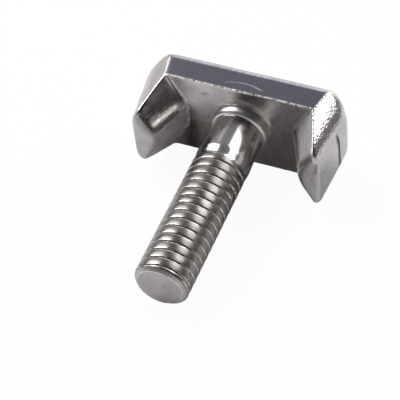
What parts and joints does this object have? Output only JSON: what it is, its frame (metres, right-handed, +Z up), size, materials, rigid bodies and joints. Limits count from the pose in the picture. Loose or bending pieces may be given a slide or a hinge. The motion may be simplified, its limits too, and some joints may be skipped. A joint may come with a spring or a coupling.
{
  "type": "battery terminal bolt",
  "caption": "Forged T-head bolt with a hooked claw at each end of its bar head and a threaded shank, for clamping a battery cable terminal.",
  "frame": {"origin": "centre of the lying bolt's box, on the surface that it lies on", "axes": "+Z up, +X along the bar head, -Y towards the screw end"},
  "size_m": [0.031, 0.0366, 0.0152],
  "materials": {
    "steel": "forged and tumbled stainless steel, bright on the plain shank"
  },
  "bodies": {
    "root": {"t_bolt": "steel"}
  },
  "joints": []
}
